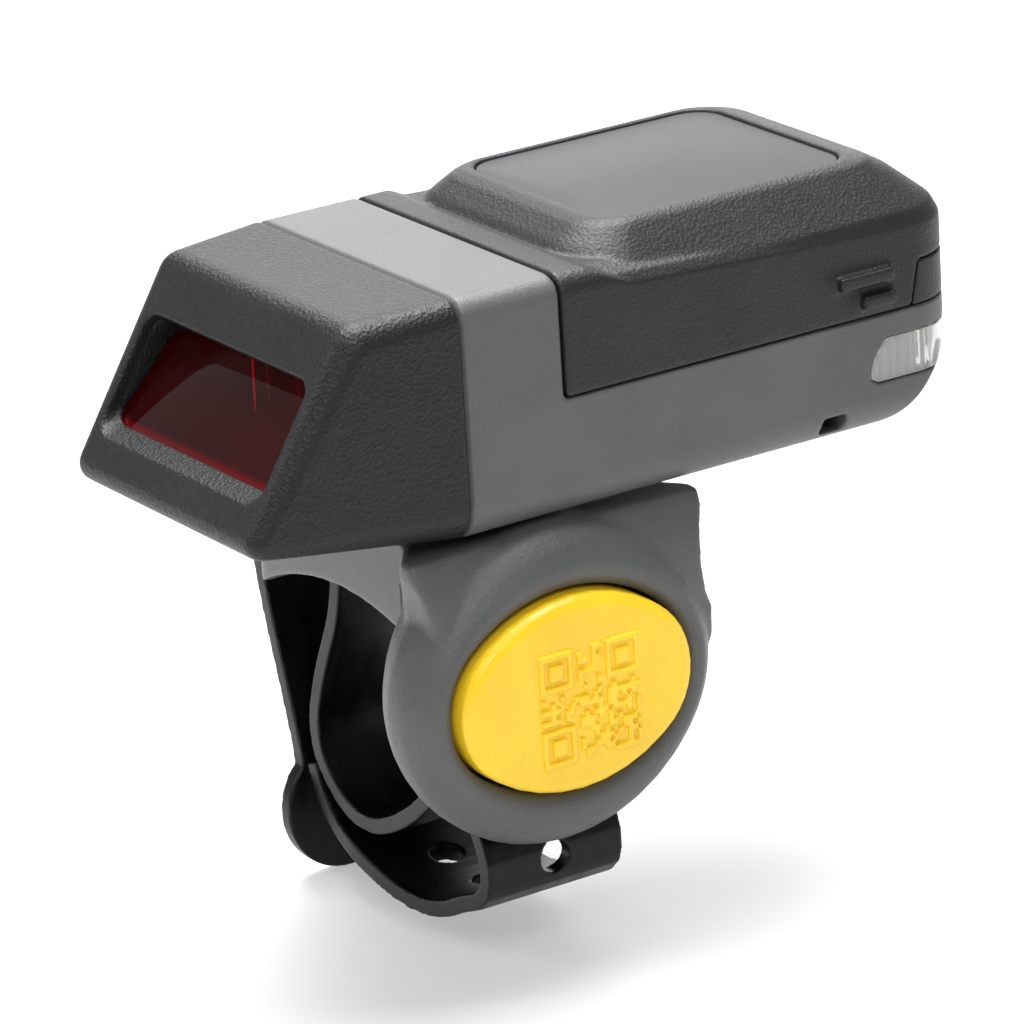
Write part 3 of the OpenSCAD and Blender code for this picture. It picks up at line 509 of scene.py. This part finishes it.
@dataclass(frozen=True)
class LightGuide(ClearPlastic):
    """Clear light guide with upright ribs moulded in, their pitch and depth in millimetres."""

    pitch: float = 0.9
    depth: float = 0.12

    def paint(self, shading: Shading) -> None:
        """Adds the ribs to the clear plastic.

        Args:
            shading: The material's nodes.
        """
        super().paint(shading)
        s = shading
        along = s.math("ADD", s.axis(0), s.axis(1))
        wave = s.math("SINE", s.math("MULTIPLY", along, 2 * math.pi / (self.pitch * MM)))
        s.bump(s.span(wave, -1, 1, 0, 1), self.depth)


@dataclass(frozen=True)
class Metal(Finish):
    """Turned or pressed metal with fine tool marks."""

    colour: str
    rough: float = 0.28

    def paint(self, shading: Shading) -> None:
        """Metallic base, marks across the axis and a few stains.

        Args:
            shading: The material's nodes.
        """
        s = shading
        marks = s.noise(0.06, detail=2, place=s.stretched((0.15, 0.15, 1)))
        stain = s.noise(1.5, detail=4)
        base = linear(self.colour)
        s.put(s.surface, "Base Color", s.blend(s.span(stain, 0.45, 0.75, 0, 1), base, toned(base, 0.8)))
        s.put(s.surface, "Metallic", 1.0)
        s.put(s.surface, "Roughness", s.span(marks, 0.3, 0.7, self.rough - 0.06, self.rough + 0.1))
        s.bump(marks, 0.004, 0.5)


@dataclass(frozen=True)
class CircuitBoard(Finish):
    """Green solder mask with its copper tracks and vias.

    Attributes:
        track_scale: How many tracks there are in a metre.
        via_pitch: Distance between the vias in millimetres.
    """

    track_scale: float = 420.0
    via_pitch: float = 1.3

    def paint(self, shading: Shading) -> None:
        """Mask colour, tracks slightly raised, small tinned dots.

        Args:
            shading: The material's nodes.
        """
        s = shading
        tracks = s.add("ShaderNodeTexBrick", offset=0.35, squash=0.7)
        s.put(tracks, "Vector", s.place)
        s.put(tracks, "Scale", self.track_scale)
        s.put(tracks, "Mortar Size", 0.05)
        line = tracks.outputs["Fac"]
        dots = s.span(s.cells(self.via_pitch, "F1"), 0.12, 0.16, 1, 0)
        mask = s.blend(line, linear("#1b5a38"), linear("#2c7a4c"))
        s.put(s.surface, "Base Color", s.blend(dots, mask, linear("#c9c4ae")))
        s.put(s.surface, "Roughness", s.span(s.noise(0.4, detail=2), 0.3, 0.7, 0.25, 0.4))
        s.bump(line, 0.03, 0.6)


@dataclass(frozen=True)
class CellFoil(Finish):
    """Crinkled foil of the pouch cell."""

    def paint(self, shading: Shading) -> None:
        """Dull aluminium with shallow creases.

        Args:
            shading: The material's nodes.
        """
        s = shading
        crease = s.noise(3.5, detail=5, distortion=1.4)
        s.put(s.surface, "Base Color", s.blend(crease, linear("#a9adb2"), linear("#d2d4d7")))
        s.put(s.surface, "Metallic", 0.9)
        s.put(s.surface, "Roughness", s.span(crease, 0.3, 0.7, 0.28, 0.45))
        s.bump(crease, 0.12, 0.7)


@dataclass(frozen=True)
class LensGlass(Finish):
    """Black barrel and coated glass of the imaging lens, with a given number of rings in a metre."""

    ring_scale: float = 900.0

    def paint(self, shading: Shading) -> None:
        """Almost black, with rings and a violet coating.

        Args:
            shading: The material's nodes.
        """
        s = shading
        rings = s.add("ShaderNodeTexWave", wave_type="RINGS", rings_direction="Y")
        s.put(rings, "Vector", s.place)
        s.put(rings, "Scale", self.ring_scale)
        s.put(s.surface, "Base Color", s.blend(rings.outputs["Fac"], linear("#08080b"), linear("#15161d")))
        s.put(s.surface, "Roughness", s.span(s.noise(0.3, detail=2), 0.3, 0.7, 0.08, 0.16))
        s.put(s.surface, "Coat Weight", 0.6)
        s.put(s.surface, "Coat Tint", linear("#9a86e8"))
        s.bump(rings.outputs["Fac"], 0.01, 0.4)


@dataclass(frozen=True)
class Film(Finish):
    """Satin polycarbonate film of the label panel."""

    colour: str

    def paint(self, shading: Shading) -> None:
        """Dark film with very fine pebbles and faint cloudiness.

        Args:
            shading: The material's nodes.
        """
        s = shading
        pebble = s.cells(0.11)
        cloud = s.noise(6, detail=3, distortion=0.5)
        base = linear(self.colour)
        s.put(s.surface, "Base Color", s.blend(s.span(cloud, 0.35, 0.65, 0, 1), base, toned(base, 1.12)))
        s.put(s.surface, "Roughness", s.span(pebble, 0, 0.6, 0.52, 0.44))
        s.put(s.surface, "Specular IOR Level", 0.4)
        s.bump(pebble, 0.008, 0.6)


BLACK = Moulded("black_moulding", "#141416", Grain.LEATHER, rough=0.42, pebble=0.27, depth=0.09, gloss=0.32)
CASE_BLACK = Moulded("case_black", "#1a1a1e", Grain.LEATHER, rough=0.46, pebble=0.25, depth=0.05, gloss=0.38)
GREY = Moulded("grey_moulding", "#515252", Grain.SATIN, rough=0.5)
TRIGGER_GREY = Moulded("trigger_grey", "#4e4f4f", Grain.LEATHER, rough=0.44, pebble=0.22, depth=0.05)
SADDLE_GREY = Moulded("saddle_moulding", "#5c5d5d", Grain.SATIN, rough=0.42)
YELLOW = Moulded("button_yellow", "#fbcb22", Grain.SILK, rough=0.32)
INNER = Moulded("inner_moulding", "#232426", Grain.SATIN, rough=0.55)
CHIP = Moulded("chip_epoxy", "#17181a", Grain.SATIN, rough=0.6)
PALE = Moulded("silicone_white", "#e6e2da", Grain.SILK, rough=0.45)
RUBBER = Rubber("strap_black", "#070708", rough=0.36)
GASKET = Rubber("gasket_black", "#121213", rough=0.6)
CLEAR = LightGuide("light_pipe_clear", "#f4f5f2", rough=0.1, transmission=0.8)
LED_WHITE = ClearPlastic("led_resin", "#f2efe2", rough=0.25, transmission=0.4)
STEEL = Metal("steel_turned", "#b0b3b6")
BRASS = Metal("brass_disc", "#c7962f", rough=0.33)
GOLD = Metal("contact_gold", "#d9a441", rough=0.2)
PANEL = Film("label_film", "#26272a")
BOARD = CircuitBoard("solder_mask")
FOIL = CellFoil("cell_foil")
LENS = LensGlass("lens_coated")


# Mesh tools, in millimetres

FLAT = math.radians(0.6)
SHARP = math.radians(40)
SMOOTH = math.radians(32)


def merged_copy(node: str) -> bmesh.types.BMesh:
    """Copies a CAD node's mesh and merges its loose triangles.

    Args:
        node: The node's name.

    Returns:
        The copy, in millimetres.
    """
    bm = bmesh.new()
    bm.from_mesh(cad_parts[node].data)
    bmesh.ops.scale(bm, vec=(1 / MM,) * 3, verts=bm.verts)
    bmesh.ops.remove_doubles(bm, verts=bm.verts, dist=0.001)
    return bm


def new_piece(name: str, bm: bmesh.types.BMesh) -> bpy.types.Object:
    """Makes an object of a bmesh and frees the bmesh.

    Args:
        name: The object's name.
        bm: Its shape.

    Returns:
        The object, at the origin.
    """
    mesh = bpy.data.meshes.new(name)
    bm.to_mesh(mesh)
    bm.free()
    piece = bpy.data.objects.new(name, mesh)
    bpy.context.scene.collection.objects.link(piece)
    return piece


def settle(piece: bpy.types.Object) -> None:
    """Applies the piece's modifiers to its mesh.

    Args:
        piece: The piece.
    """
    graph = bpy.context.evaluated_depsgraph_get()
    mesh = bpy.data.meshes.new_from_object(piece.evaluated_get(graph))
    old = piece.data
    piece.modifiers.clear()
    piece.data = mesh
    bpy.data.meshes.remove(old)


def to_metres(piece: bpy.types.Object) -> None:
    """Brings a finished mesh from millimetres to metres."""
    piece.data.transform(Matrix.Scale(MM, 4))


@dataclass(frozen=True)
class Softening:
    """Rounds all edges of a moulding, as its mould does.

    Attributes:
        ending: What the piece's name adds to the node's.
        voxel: Size of the new skin's cells in millimetres.
        passes: How often the skin is smoothed.
        triangles: The most triangles that it keeps.
    """

    ending: ClassVar[str] = "_skin"

    voxel: float
    passes: int
    triangles: int

    def shape(self, name: str, bm: bmesh.types.BMesh) -> bpy.types.Object:
        """Makes the piece of a closed shape.

        Args:
            name: The new piece's name.
            bm: The shape, in millimetres.

        Returns:
            The piece, in metres.
        """
        piece = new_piece(name, bm)
        remesh = piece.modifiers.new("skin", "REMESH")
        remesh.mode = "VOXEL"
        remesh.voxel_size = self.voxel
        smooth = piece.modifiers.new("soften", "SMOOTH")
        smooth.factor = 0.5
        smooth.iterations = self.passes
        settle(piece)
        count = 2 * len(piece.data.polygons)
        if count > self.triangles:
            thin = piece.modifiers.new("thin", "DECIMATE")
            thin.ratio = self.triangles / count
            settle(piece)
        to_metres(piece)
        piece.data.shade_smooth()
        weigh = piece.modifiers.new("weigh", "WEIGHTED_NORMAL")
        weigh.weight = 50
        return piece


@dataclass(frozen=True)
class Bevelling:
    """Breaks the sharp edges of a part by a small bevel.

    Attributes:
        ending: What the piece's name adds to the node's.
        rim: Width of the bevel in millimetres.
    """

    ending: ClassVar[str] = "_trim"

    rim: float = 0.06

    def shape(self, name: str, bm: bmesh.types.BMesh) -> bpy.types.Object:
        """Makes the piece of a closed shape.

        Args:
            name: The new piece's name.
            bm: The shape, in millimetres.

        Returns:
            The piece, in metres.
        """
        bmesh.ops.dissolve_limit(bm, angle_limit=FLAT, verts=bm.verts, edges=bm.edges)
        sharp = [e for e in bm.edges if len(e.link_faces) == 2 and e.calc_face_angle(0) > SHARP]
        bmesh.ops.bevel(bm, geom=sharp, offset=self.rim, offset_type="OFFSET", segments=2, profile=0.5,
                        affect="EDGES", clamp_overlap=True, material=-1)
        piece = new_piece(name, bm)
        to_metres(piece)
        piece.data.shade_smooth()
        piece.data.set_sharp_from_angle(angle=SMOOTH)
        return piece


# Sub-assemblies


@dataclass(frozen=True)
class Part:
    """One CAD node that a sub-assembly shows.

    Attributes:
        node: The node's name.
        slot: Its material slot in the record; not used.
        finish: Its finish.
        edges: How its edges are made.
    """

    node: str
    slot: str
    finish: Finish
    edges: Softening | Bevelling = Bevelling()


@dataclass
class SubAssembly:
    """Pieces that ride on one CAD body."""

    body: str
    pieces: dict[str, bpy.types.Object] = field(default_factory=dict)

    def parts(self) -> tuple[Part, ...]:
        """Lists the nodes that it shows."""
        raise NotImplementedError(self.body)

    def blank(self, node: str) -> bmesh.types.BMesh:
        """The shape that a node's piece starts from, in millimetres."""
        return merged_copy(node)

    def build(self) -> None:
        """Makes a piece of each node."""
        for part in self.parts():
            name = part.node + part.edges.ending
            self.pieces[part.node] = part.edges.shape(name, self.blank(part.node))

    def dress(self) -> None:
        """Gives each piece its finish and its body, and hides the node it stands for."""
        for part in self.parts():
            piece = self.pieces[part.node]
            piece.data.materials.append(part.finish.material())
            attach(piece, self.body)
            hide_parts(part.node)


@dataclass
class Nose(SubAssembly):
    """Black nose with its window and what shows behind it."""

    shell: Softening = Softening(voxel=0.17, passes=7, triangles=150_000)
    pane_rim: float = 0.12
    engine_rim: float = 0.15
    lens_rim: float = 0.1

    def parts(self) -> tuple[Part, ...]:
        """Lists the bezel, the pane and the scan engine.

        Returns:
            The parts, in the order they are made.
        """
        low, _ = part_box("scan_window")
        # d81018 is the colour of the pane's painted glow and painted reflection line.
        pane = TintedPane("pane_red", "#5a0a0c", "#d81018", foot=low.z / MM)
        return (
            Part("nose_bezel", "black_plastic", BLACK, self.shell),
            Part("scan_window", "red_window", pane, Bevelling(self.pane_rim)),
            Part("window_gasket", "strap_rubber", GASKET),
            Part("scan_engine", "inner_plastic", INNER, Bevelling(self.engine_rim)),
            Part("imaging_lens", "lens_black", LENS, Bevelling(self.lens_rim)),
            Part("aiming_leds", "led_white", LED_WHITE),
            Part("engine_board", "board_green", BOARD),
        )


@dataclass
class Housing(SubAssembly):
    """Grey band and tub with the electronics and the light pipe."""

    shell: Softening = Softening(voxel=0.2, passes=3, triangles=190_000)
    pipe: Softening = Softening(voxel=0.12, passes=3, triangles=60_000)
    leaf_rim: float = 0.03

    def parts(self) -> tuple[Part, ...]:
        """Lists the moulding, the light pipe and the pieces in the bay.

        Returns:
            The parts, in the order they are made.
        """
        return (
            Part("main_housing", "grey_plastic", GREY, self.shell),
            Part("light_pipe", "clear_plastic", CLEAR, self.pipe),
            Part("main_board", "board_green", BOARD),
            Part("board_chips", "chip_black", CHIP),
            Part("status_leds", "led_white", LED_WHITE),
            Part("buzzer", "chip_black", CHIP),
            Part("bay_floor", "inner_plastic", INNER),
            Part("floor_screws", "steel", STEEL),
            Part("contact_block", "inner_plastic", INNER),
            Part("contact_pins", "contact_gold", GOLD),
            Part("swivel_pins", "contact_gold", GOLD),
            Part("latch_spring", "steel", STEEL, Bevelling(self.leaf_rim)),
        )


@dataclass
class BatteryPack(SubAssembly):
    """Black battery pack with its label panel."""

    shell: Softening = Softening(voxel=0.17, passes=12, triangles=170_000)
    label_rim: float = 0.16
    cell_rim: float = 0.4
    pad_rim: float = 0.03

    def parts(self) -> tuple[Part, ...]:
        """Lists the case, the panel, the cell and the contacts.

        Returns:
            The parts, in the order they are made.
        """
        return (
            Part("battery_case", "black_plastic", CASE_BLACK, self.shell),
            Part("label_plate", "label_grey", PANEL, Bevelling(self.label_rim)),
            Part("battery_base", "inner_plastic", INNER),
            Part("battery_cell", "cell_foil", FOIL, Bevelling(self.cell_rim)),
            Part("battery_pads", "contact_gold", GOLD, Bevelling(self.pad_rim)),
        )


@dataclass
class Latch(SubAssembly):
    """Latch across the pack's rear."""

    shell: Softening = Softening(voxel=0.12, passes=4, triangles=90_000)

    def parts(self) -> tuple[Part, ...]:
        """Lists the latch tab."""
        return (Part("latch_tab", "black_plastic", CASE_BLACK, self.shell),)


@dataclass
class RingMount(SubAssembly):
    """Saddle on the finger, trigger housing, swivel and strap."""

    saddle: Softening = Softening(voxel=0.18, passes=14, triangles=120_000)
    cushion: Softening = Softening(voxel=0.22, passes=30, triangles=120_000)
    strap: Softening = Softening(voxel=0.14, passes=4, triangles=150_000)
    cover_rim: float = 0.2
    turned_rim: float = 0.15

    def parts(self) -> tuple[Part, ...]:
        """Lists the mount's mouldings, metal parts and strap.

        Returns:
            The parts, in the order they are made.
        """
        return (
            Part("ring_saddle", "saddle_grey", SADDLE_GREY, self.saddle),
            Part("trigger_housing", "grey_plastic", TRIGGER_GREY, self.cushion),
            Part("finger_strap", "strap_rubber", RUBBER, self.strap),
            Part("trigger_cover", "inner_plastic", INNER, Bevelling(self.cover_rim)),
            Part("cover_screws", "steel", STEEL),
            Part("trigger_board", "board_green", BOARD),
            Part("trigger_dome", "dome_silicone", PALE),
            Part("strap_bar", "steel", STEEL, Bevelling(self.turned_rim)),
            Part("swivel_spindle", "steel", STEEL, Bevelling(self.turned_rim)),
            Part("spindle_cap", "inner_plastic", INNER, Bevelling(self.cover_rim)),
            Part("swivel_washer", "steel", STEEL),
            Part("swivel_clip", "steel", STEEL),
            Part("slip_disc", "contact_gold", BRASS),
        )


@dataclass
class Trigger(SubAssembly):
    """Yellow thumb button with its embossed blocks.

    Attributes:
        skin: How the button is softened.
        cells: Number of cells along each side of the pattern.
        cell: Size of a cell in millimetres.
        frame_cells: Number of cells along each side of a corner's square frame.
        relief: How far the blocks stand out, in millimetres.
        aside: How far the pattern is to the rear of the middle and below it, in millimetres.
        seed: Start of the draw for the loose blocks.
    """

    skin: Softening = Softening(voxel=0.09, passes=2, triangles=180_000)
    cells: int = 21
    cell: float = 0.44
    frame_cells: int = 7
    relief: float = 0.34
    aside: float = 0.6
    seed: int = 5

    def parts(self) -> tuple[Part, ...]:
        """Lists the button."""
        return (Part("trigger_button", "yellow_plastic", YELLOW, self.skin),)

    def blank(self, node: str) -> bmesh.types.BMesh:
        """Makes the button with its relief, in millimetres.

        Args:
            node: The button's node.

        Returns:
            The shape.
        """
        bm = merged_copy(node)
        self.emboss(bm, *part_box(node))
        return bm

    def raised(self, row: int, column: int, dice: random.Random) -> bool:
        """Whether a cell of the block pattern stands out.

        Args:
            row: Row of the cell from the top.
            column: Column of the cell from the left.
            dice: Seeded source of the loose blocks.

        Returns:
            True for a raised cell.
        """
        chance = dice.random() < 0.5
        last = self.cells - self.frame_cells
        for corner_row, corner_column in ((0, 0), (0, last), (last, 0)):
            r, c = row - corner_row, column - corner_column
            if -1 <= r <= self.frame_cells and -1 <= c <= self.frame_cells:
                middle = self.frame_cells // 2
                return max(abs(r - middle), abs(c - middle)) in (0, 1, middle)
        return chance

    def emboss(self, bm: bmesh.types.BMesh, low: Vector, high: Vector) -> None:
        """Adds the raised blocks to the button's front.

        Args:
            bm: The button's mesh, in millimetres.
            low: Lowest corner of the button's box, in metres.
            high: Highest corner of the box, in metres.
        """
        front = high.x / MM
        middle_y = (low.y + high.y) / 2 / MM + self.aside
        middle_z = (low.z + high.z) / 2 / MM - self.aside
        dice = random.Random(self.seed)
        half = self.cells * self.cell / 2
        size = (2 * self.relief, self.cell, self.cell, 1)
        for row in range(self.cells):
            for column in range(self.cells):
                if not self.raised(row, column, dice):
                    continue
                y = middle_y - half + (column + 0.5) * self.cell
                z = middle_z + half - (row + 0.5) * self.cell
                place = Matrix.Translation((front, y, z)) @ Matrix.Diagonal(size)
                bmesh.ops.create_cube(bm, size=1, matrix=place)


# Studio


@dataclass(frozen=True)
class Lamp:
    """Soft square light that is aimed at the object.

    Attributes:
        name: Its name.
        place: Its place in metres.
        size: Its side in metres.
        power: Its power in watts.
    """

    name: str
    place: tuple[float, float, float]
    size: float
    power: float

    def build(self, target: Vector) -> None:
        """Hangs the light and turns it to the object.

        Args:
            target: The point that it is aimed at, in metres.
        """
        data = bpy.data.lights.new(self.name, "AREA")
        data.shape = "SQUARE"
        data.size = self.size
        data.energy = self.power
        lamp = bpy.data.objects.new(self.name, data)
        lamp.location = self.place
        lamp.rotation_euler = (target - Vector(self.place)).to_track_quat("-Z", "Y").to_euler()
        bpy.context.scene.collection.objects.link(lamp)


@dataclass
class Studio:
    """Pale floor, soft lights and the camera at the photograph's angle.

    Attributes:
        pivot: Point that the camera turns about and the lamps are aimed at, in millimetres.
        azimuth: How far round from the nose the camera stands, in degrees.
        elevation: How far up it stands, in degrees.
        roll: How far it is rolled, in degrees.
        shift: How far it is moved to the right and up, in millimetres.
        distance: Its distance in millimetres.
        lens: Its focal length.
        sensor: Width of its sensor.
        room: Strength of the even light all round.
        glow: Light that the floor gives off.
        floor_size: Half the floor's side in metres.
        floor_gap: Space between the floor and the lowest piece, in metres.
        floor_tones: Darkest and lightest grey of the floor.
        cloud: Size of the floor's lighter places in millimetres.
        lamps: The lights.
    """

    pivot: tuple[float, float, float] = (2.2, 12.7, 19.5)
    azimuth: float = 57.66
    elevation: float = 19.655
    roll: float = -3.5
    shift: tuple[float, float] = (-5.485, -6.585)
    distance: float = 521.14
    lens: float = 230.2
    sensor: float = 36
    room: float = 0.3
    glow: float = 0.4
    floor_size: float = 3
    floor_gap: float = 0.0002
    floor_tones: tuple[float, float] = (0.38, 0.42)
    cloud: float = 220
    lamps: tuple[Lamp, ...] = (
        Lamp("key", (-0.12, 0.08, 0.62), size=0.5, power=12.0),
        Lamp("back", (-0.62, 0.42, 0.30), size=0.6, power=2.2),
        Lamp("left", (-0.34, -0.62, 0.46), size=0.3, power=1.5),
        Lamp("side", (0.46, -0.30, 0.50), size=0.3, power=1.8),
    )

    def build(self) -> None:
        """Makes the floor, the lights and the camera."""
        self.floor()
        self.sky()
        for lamp in self.lamps:
            lamp.build(Vector(self.pivot) * MM)
        self.camera()

    def floor(self) -> None:
        """Lays a faintly lit white floor just under the lowest piece."""
        low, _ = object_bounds()
        bm = bmesh.new()
        bmesh.ops.create_grid(bm, x_segments=1, y_segments=1, size=self.floor_size)
        bmesh.ops.translate(bm, vec=(0, 0, low.z - self.floor_gap), verts=bm.verts)
        floor = new_piece("floor", bm)
        shading = Shading("floor_white")
        dark, light = ((tone, tone, tone, 1) for tone in self.floor_tones)
        white = shading.blend(shading.noise(self.cloud, detail=2), dark, light)
        shading.put(shading.surface, "Base Color", white)
        shading.put(shading.surface, "Emission Color", (1, 1, 1, 1))
        shading.put(shading.surface, "Emission Strength", self.glow)
        shading.put(shading.surface, "Roughness", 0.6)
        floor.data.materials.append(shading.material)
        floor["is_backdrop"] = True

    def sky(self) -> None:
        """Fills the room with even white light."""
        world = bpy.data.worlds.new("room")
        world.use_nodes = True
        back = world.node_tree.nodes["Background"]
        back.inputs["Color"].default_value = (1, 1, 1, 1)
        back.inputs["Strength"].default_value = self.room
        bpy.context.scene.world = world
        bpy.context.scene.view_settings.view_transform = "Standard"

    def camera(self) -> None:
        """Stands the camera where the photograph was taken from."""
        a, e, roll = (math.radians(x) for x in (self.azimuth, self.elevation, self.roll))
        back = Vector((math.sin(a) * math.cos(e), -math.cos(a) * math.cos(e), math.sin(e)))
        right = Vector((math.cos(a), math.sin(a), 0))
        up = back.cross(right)
        turned_right = right * math.cos(roll) + up * math.sin(roll)
        turned_up = up * math.cos(roll) - right * math.sin(roll)
        place = Vector(self.pivot) + back * self.distance
        place += turned_right * self.shift[0] + turned_up * self.shift[1]
        data = bpy.data.cameras.new("camera")
        data.lens = self.lens
        data.sensor_width = self.sensor
        data.clip_start, data.clip_end = 0.01, 10
        camera = bpy.data.objects.new("camera", data)
        axes = Matrix((turned_right, turned_up, back)).transposed().to_4x4()
        camera.matrix_world = Matrix.Translation(place * MM) @ axes
        bpy.context.scene.collection.objects.link(camera)
        bpy.context.scene.camera = camera


def main() -> None:
    """Builds and dresses the sub-assemblies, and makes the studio."""
    logging.basicConfig(level=logging.INFO, format="%(message)s")
    assemblies = (
        Nose("scanner_body"),
        Housing("scanner_body"),
        BatteryPack("scanner_body"),
        Latch("latch"),
        RingMount("ring_mount"),
        Trigger("trigger"),
    )
    for assembly in assemblies:
        assembly.build()
        assembly.dress()
        for piece in assembly.pieces.values():
            LOG.info("%s: %d faces on %s", piece.name, len(piece.data.polygons), assembly.body)
    Studio().build()


if __name__ == "__main__":
    main()
